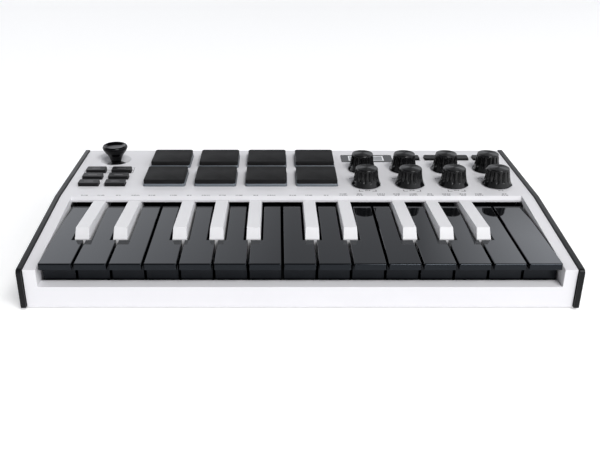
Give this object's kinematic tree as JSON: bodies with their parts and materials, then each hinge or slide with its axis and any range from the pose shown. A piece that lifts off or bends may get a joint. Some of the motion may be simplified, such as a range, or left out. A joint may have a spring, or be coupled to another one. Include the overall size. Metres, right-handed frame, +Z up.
{
  "type": "midi keyboard",
  "caption": "Compact desktop MIDI keyboard with dark naturals and white sharps, drum pads, knobs, push buttons, a small display and a thumb joystick in a white case.",
  "frame": {"origin": "on the surface the feet stand on, under the middle of the case", "axes": "+X to the player's right along the keys, +Y from the player towards the rear sockets, +Z up"},
  "size_m": [0.318, 0.1836, 0.0452],
  "materials": {
    "white_case": "fine satin grain",
    "black_case": "satin",
    "natural_keys": "polished",
    "sharp_keys": "satin",
    "chassis": "as moulded",
    "pads": "matte silicone over a translucent skirt",
    "buttons": "matte silicone",
    "knobs": "glossy, fluted",
    "joystick": "glossy",
    "circuit_board": "solder mask",
    "display_lens": "smoked lens",
    "socket_metal": "nickel plated",
    "jack_body": "as moulded"
  },
  "bodies": {
    "case": {"top_shell": "white_case", "bottom_case": "black_case", "keybed_chassis": "chassis", "main_board": "circuit_board", "display_lens": "display_lens", "usb_socket": "socket_metal", "pedal_jack": "jack_body"},
    "key_c_1": {"key_c_1": "natural_keys"},
    "key_d_1": {"key_d_1": "natural_keys"},
    "key_e_1": {"key_e_1": "natural_keys"},
    "key_f_1": {"key_f_1": "natural_keys"},
    "key_g_1": {"key_g_1": "natural_keys"},
    "key_a_1": {"key_a_1": "natural_keys"},
    "key_b_1": {"key_b_1": "natural_keys"},
    "key_c_2": {"key_c_2": "natural_keys"},
    "key_d_2": {"key_d_2": "natural_keys"},
    "key_e_2": {"key_e_2": "natural_keys"},
    "key_f_2": {"key_f_2": "natural_keys"},
    "key_g_2": {"key_g_2": "natural_keys"},
    "key_a_2": {"key_a_2": "natural_keys"},
    "key_b_2": {"key_b_2": "natural_keys"},
    "key_c_3": {"key_c_3": "natural_keys"},
    "key_c_sharp_1": {"key_c_sharp_1": "sharp_keys"},
    "key_d_sharp_1": {"key_d_sharp_1": "sharp_keys"},
    "key_f_sharp_1": {"key_f_sharp_1": "sharp_keys"},
    "key_g_sharp_1": {"key_g_sharp_1": "sharp_keys"},
    "key_a_sharp_1": {"key_a_sharp_1": "sharp_keys"},
    "key_c_sharp_2": {"key_c_sharp_2": "sharp_keys"},
    "key_d_sharp_2": {"key_d_sharp_2": "sharp_keys"},
    "key_f_sharp_2": {"key_f_sharp_2": "sharp_keys"},
    "key_g_sharp_2": {"key_g_sharp_2": "sharp_keys"},
    "key_a_sharp_2": {"key_a_sharp_2": "sharp_keys"},
    "pad_1": {"pad_1": "pads"},
    "pad_2": {"pad_2": "pads"},
    "pad_3": {"pad_3": "pads"},
    "pad_4": {"pad_4": "pads"},
    "pad_5": {"pad_5": "pads"},
    "pad_6": {"pad_6": "pads"},
    "pad_7": {"pad_7": "pads"},
    "pad_8": {"pad_8": "pads"},
    "left_button_1": {"left_button_1": "buttons"},
    "left_button_2": {"left_button_2": "buttons"},
    "left_button_3": {"left_button_3": "buttons"},
    "left_button_4": {"left_button_4": "buttons"},
    "left_button_5": {"left_button_5": "buttons"},
    "left_button_6": {"left_button_6": "buttons"},
    "right_button_1": {"right_button_1": "buttons"},
    "right_button_2": {"right_button_2": "buttons"},
    "right_button_3": {"right_button_3": "buttons"},
    "right_button_4": {"right_button_4": "buttons"},
    "knob_1": {"knob_1": "knobs"},
    "knob_2": {"knob_2": "knobs"},
    "knob_3": {"knob_3": "knobs"},
    "knob_4": {"knob_4": "knobs"},
    "knob_5": {"knob_5": "knobs"},
    "knob_6": {"knob_6": "knobs"},
    "knob_7": {"knob_7": "knobs"},
    "knob_8": {"knob_8": "knobs"},
    "joystick_gimbal": {"joystick_gimbal": "chassis"},
    "joystick": {"joystick": "joystick"}
  },
  "joints": [
    {"name": "key_c_1_press", "type": "hinge", "parent": "case", "child": "key_c_1", "pos_m": [-0.13741, 0.009, 0.021], "axis": [1, 0, 0], "range_deg": [0, 3.5], "stiffness_Nm_per_rad": 0.4, "springref_deg": -2.86},
    {"name": "key_d_1_press", "type": "hinge", "parent": "case", "child": "key_d_1", "pos_m": [-0.11778, 0.009, 0.021], "axis": [1, 0, 0], "range_deg": [0, 3.5], "stiffness_Nm_per_rad": 0.4, "springref_deg": -2.86},
    {"name": "key_e_1_press", "type": "hinge", "parent": "case", "child": "key_e_1", "pos_m": [-0.09815, 0.009, 0.021], "axis": [1, 0, 0], "range_deg": [0, 3.5], "stiffness_Nm_per_rad": 0.4, "springref_deg": -2.86},
    {"name": "key_f_1_press", "type": "hinge", "parent": "case", "child": "key_f_1", "pos_m": [-0.07852, 0.009, 0.021], "axis": [1, 0, 0], "range_deg": [0, 3.5], "stiffness_Nm_per_rad": 0.4, "springref_deg": -2.86},
    {"name": "key_g_1_press", "type": "hinge", "parent": "case", "child": "key_g_1", "pos_m": [-0.05889, 0.009, 0.021], "axis": [1, 0, 0], "range_deg": [0, 3.5], "stiffness_Nm_per_rad": 0.4, "springref_deg": -2.86},
    {"name": "key_a_1_press", "type": "hinge", "parent": "case", "child": "key_a_1", "pos_m": [-0.03926, 0.009, 0.021], "axis": [1, 0, 0], "range_deg": [0, 3.5], "stiffness_Nm_per_rad": 0.4, "springref_deg": -2.86},
    {"name": "key_b_1_press", "type": "hinge", "parent": "case", "child": "key_b_1", "pos_m": [-0.01963, 0.009, 0.021], "axis": [1, 0, 0], "range_deg": [0, 3.5], "stiffness_Nm_per_rad": 0.4, "springref_deg": -2.86},
    {"name": "key_c_2_press", "type": "hinge", "parent": "case", "child": "key_c_2", "pos_m": [0, 0.009, 0.021], "axis": [1, 0, 0], "range_deg": [0, 3.5], "stiffness_Nm_per_rad": 0.4, "springref_deg": -2.86},
    {"name": "key_d_2_press", "type": "hinge", "parent": "case", "child": "key_d_2", "pos_m": [0.01963, 0.009, 0.021], "axis": [1, 0, 0], "range_deg": [0, 3.5], "stiffness_Nm_per_rad": 0.4, "springref_deg": -2.86},
    {"name": "key_e_2_press", "type": "hinge", "parent": "case", "child": "key_e_2", "pos_m": [0.03926, 0.009, 0.021], "axis": [1, 0, 0], "range_deg": [0, 3.5], "stiffness_Nm_per_rad": 0.4, "springref_deg": -2.86},
    {"name": "key_f_2_press", "type": "hinge", "parent": "case", "child": "key_f_2", "pos_m": [0.05889, 0.009, 0.021], "axis": [1, 0, 0], "range_deg": [0, 3.5], "stiffness_Nm_per_rad": 0.4, "springref_deg": -2.86},
    {"name": "key_g_2_press", "type": "hinge", "parent": "case", "child": "key_g_2", "pos_m": [0.07852, 0.009, 0.021], "axis": [1, 0, 0], "range_deg": [0, 3.5], "stiffness_Nm_per_rad": 0.4, "springref_deg": -2.86},
    {"name": "key_a_2_press", "type": "hinge", "parent": "case", "child": "key_a_2", "pos_m": [0.09815, 0.009, 0.021], "axis": [1, 0, 0], "range_deg": [0, 3.5], "stiffness_Nm_per_rad": 0.4, "springref_deg": -2.86},
    {"name": "key_b_2_press", "type": "hinge", "parent": "case", "child": "key_b_2", "pos_m": [0.11778, 0.009, 0.021], "axis": [1, 0, 0], "range_deg": [0, 3.5], "stiffness_Nm_per_rad": 0.4, "springref_deg": -2.86},
    {"name": "key_c_3_press", "type": "hinge", "parent": "case", "child": "key_c_3", "pos_m": [0.13741, 0.009, 0.021], "axis": [1, 0, 0], "range_deg": [0, 3.5], "stiffness_Nm_per_rad": 0.4, "springref_deg": -2.86},
    {"name": "key_c_sharp_1_press", "type": "hinge", "parent": "case", "child": "key_c_sharp_1", "pos_m": [-0.12934, 0.009, 0.021], "axis": [1, 0, 0], "range_deg": [0, 3.5], "stiffness_Nm_per_rad": 0.35, "springref_deg": -2.86},
    {"name": "key_d_sharp_1_press", "type": "hinge", "parent": "case", "child": "key_d_sharp_1", "pos_m": [-0.10651, 0.009, 0.021], "axis": [1, 0, 0], "range_deg": [0, 3.5], "stiffness_Nm_per_rad": 0.35, "springref_deg": -2.86},
    {"name": "key_f_sharp_1_press", "type": "hinge", "parent": "case", "child": "key_f_sharp_1", "pos_m": [-0.07111, 0.009, 0.021], "axis": [1, 0, 0], "range_deg": [0, 3.5], "stiffness_Nm_per_rad": 0.35, "springref_deg": -2.86},
    {"name": "key_g_sharp_1_press", "type": "hinge", "parent": "case", "child": "key_g_sharp_1", "pos_m": [-0.04908, 0.009, 0.021], "axis": [1, 0, 0], "range_deg": [0, 3.5], "stiffness_Nm_per_rad": 0.35, "springref_deg": -2.86},
    {"name": "key_a_sharp_1_press", "type": "hinge", "parent": "case", "child": "key_a_sharp_1", "pos_m": [-0.02704, 0.009, 0.021], "axis": [1, 0, 0], "range_deg": [0, 3.5], "stiffness_Nm_per_rad": 0.35, "springref_deg": -2.86},
    {"name": "key_c_sharp_2_press", "type": "hinge", "parent": "case", "child": "key_c_sharp_2", "pos_m": [0.00806, 0.009, 0.021], "axis": [1, 0, 0], "range_deg": [0, 3.5], "stiffness_Nm_per_rad": 0.35, "springref_deg": -2.86},
    {"name": "key_d_sharp_2_press", "type": "hinge", "parent": "case", "child": "key_d_sharp_2", "pos_m": [0.03089, 0.009, 0.021], "axis": [1, 0, 0], "range_deg": [0, 3.5], "stiffness_Nm_per_rad": 0.35, "springref_deg": -2.86},
    {"name": "key_f_sharp_2_press", "type": "hinge", "parent": "case", "child": "key_f_sharp_2", "pos_m": [0.06631, 0.009, 0.021], "axis": [1, 0, 0], "range_deg": [0, 3.5], "stiffness_Nm_per_rad": 0.35, "springref_deg": -2.86},
    {"name": "key_g_sharp_2_press", "type": "hinge", "parent": "case", "child": "key_g_sharp_2", "pos_m": [0.08833, 0.009, 0.021], "axis": [1, 0, 0], "range_deg": [0, 3.5], "stiffness_Nm_per_rad": 0.35, "springref_deg": -2.86},
    {"name": "key_a_sharp_2_press", "type": "hinge", "parent": "case", "child": "key_a_sharp_2", "pos_m": [0.11037, 0.009, 0.021], "axis": [1, 0, 0], "range_deg": [0, 3.5], "stiffness_Nm_per_rad": 0.35, "springref_deg": -2.86},
    {"name": "pad_1_press", "type": "slide", "parent": "case", "child": "pad_1", "axis": [0, 0, -1], "range_m": [0, 0.0008], "stiffness_N_per_m": 1500, "springref_m": -0.0006},
    {"name": "pad_2_press", "type": "slide", "parent": "case", "child": "pad_2", "axis": [0, 0, -1], "range_m": [0, 0.0008], "stiffness_N_per_m": 1500, "springref_m": -0.0006},
    {"name": "pad_3_press", "type": "slide", "parent": "case", "child": "pad_3", "axis": [0, 0, -1], "range_m": [0, 0.0008], "stiffness_N_per_m": 1500, "springref_m": -0.0006},
    {"name": "pad_4_press", "type": "slide", "parent": "case", "child": "pad_4", "axis": [0, 0, -1], "range_m": [0, 0.0008], "stiffness_N_per_m": 1500, "springref_m": -0.0006},
    {"name": "pad_5_press", "type": "slide", "parent": "case", "child": "pad_5", "axis": [0, 0, -1], "range_m": [0, 0.0008], "stiffness_N_per_m": 1500, "springref_m": -0.0006},
    {"name": "pad_6_press", "type": "slide", "parent": "case", "child": "pad_6", "axis": [0, 0, -1], "range_m": [0, 0.0008], "stiffness_N_per_m": 1500, "springref_m": -0.0006},
    {"name": "pad_7_press", "type": "slide", "parent": "case", "child": "pad_7", "axis": [0, 0, -1], "range_m": [0, 0.0008], "stiffness_N_per_m": 1500, "springref_m": -0.0006},
    {"name": "pad_8_press", "type": "slide", "parent": "case", "child": "pad_8", "axis": [0, 0, -1], "range_m": [0, 0.0008], "stiffness_N_per_m": 1500, "springref_m": -0.0006},
    {"name": "left_button_1_press", "type": "slide", "parent": "case", "child": "left_button_1", "axis": [0, 0, -1], "range_m": [0, 0.0006], "stiffness_N_per_m": 1000, "springref_m": -0.0006},
    {"name": "left_button_2_press", "type": "slide", "parent": "case", "child": "left_button_2", "axis": [0, 0, -1], "range_m": [0, 0.0006], "stiffness_N_per_m": 1000, "springref_m": -0.0006},
    {"name": "left_button_3_press", "type": "slide", "parent": "case", "child": "left_button_3", "axis": [0, 0, -1], "range_m": [0, 0.0006], "stiffness_N_per_m": 1000, "springref_m": -0.0006},
    {"name": "left_button_4_press", "type": "slide", "parent": "case", "child": "left_button_4", "axis": [0, 0, -1], "range_m": [0, 0.0006], "stiffness_N_per_m": 1000, "springref_m": -0.0006},
    {"name": "left_button_5_press", "type": "slide", "parent": "case", "child": "left_button_5", "axis": [0, 0, -1], "range_m": [0, 0.0006], "stiffness_N_per_m": 1000, "springref_m": -0.0006},
    {"name": "left_button_6_press", "type": "slide", "parent": "case", "child": "left_button_6", "axis": [0, 0, -1], "range_m": [0, 0.0006], "stiffness_N_per_m": 1000, "springref_m": -0.0006},
    {"name": "right_button_1_press", "type": "slide", "parent": "case", "child": "right_button_1", "axis": [0, 0, -1], "range_m": [0, 0.0006], "stiffness_N_per_m": 1000, "springref_m": -0.0006},
    {"name": "right_button_2_press", "type": "slide", "parent": "case", "child": "right_button_2", "axis": [0, 0, -1], "range_m": [0, 0.0006], "stiffness_N_per_m": 1000, "springref_m": -0.0006},
    {"name": "right_button_3_press", "type": "slide", "parent": "case", "child": "right_button_3", "axis": [0, 0, -1], "range_m": [0, 0.0006], "stiffness_N_per_m": 1000, "springref_m": -0.0006},
    {"name": "right_button_4_press", "type": "slide", "parent": "case", "child": "right_button_4", "axis": [0, 0, -1], "range_m": [0, 0.0006], "stiffness_N_per_m": 1000, "springref_m": -0.0006},
    {"name": "knob_1_turn", "type": "hinge", "parent": "case", "child": "knob_1", "pos_m": [0.04785, 0.0496, 0.0325], "axis": [0, 0, 1], "range_deg": [-20, 250]},
    {"name": "knob_2_turn", "type": "hinge", "parent": "case", "child": "knob_2", "pos_m": [0.07765, 0.0496, 0.0325], "axis": [0, 0, 1], "range_deg": [-20, 250]},
    {"name": "knob_3_turn", "type": "hinge", "parent": "case", "child": "knob_3", "pos_m": [0.10745, 0.0496, 0.0325], "axis": [0, 0, 1], "range_deg": [-20, 250]},
    {"name": "knob_4_turn", "type": "hinge", "parent": "case", "child": "knob_4", "pos_m": [0.1372, 0.0496, 0.0325], "axis": [0, 0, 1], "range_deg": [-20, 250]},
    {"name": "knob_5_turn", "type": "hinge", "parent": "case", "child": "knob_5", "pos_m": [0.04785, 0.0206, 0.0325], "axis": [0, 0, 1], "range_deg": [-20, 250]},
    {"name": "knob_6_turn", "type": "hinge", "parent": "case", "child": "knob_6", "pos_m": [0.07765, 0.0206, 0.0325], "axis": [0, 0, 1], "range_deg": [-20, 250]},
    {"name": "knob_7_turn", "type": "hinge", "parent": "case", "child": "knob_7", "pos_m": [0.10745, 0.0206, 0.0325], "axis": [0, 0, 1], "range_deg": [-20, 250]},
    {"name": "knob_8_turn", "type": "hinge", "parent": "case", "child": "knob_8", "pos_m": [0.1372, 0.0206, 0.0325], "axis": [0, 0, 1], "range_deg": [-20, 250]},
    {"name": "joystick_forward_back", "type": "hinge", "parent": "case", "child": "joystick_gimbal", "pos_m": [-0.1322, 0.07, 0.021], "axis": [1, 0, 0], "range_deg": [-15, 15], "stiffness_Nm_per_rad": 0.05},
    {"name": "joystick_left_right", "type": "hinge", "parent": "joystick_gimbal", "child": "joystick", "pos_m": [-0.1322, 0.07, 0.021], "axis": [0, 1, 0], "range_deg": [-15, 15], "stiffness_Nm_per_rad": 0.05}
  ]
}
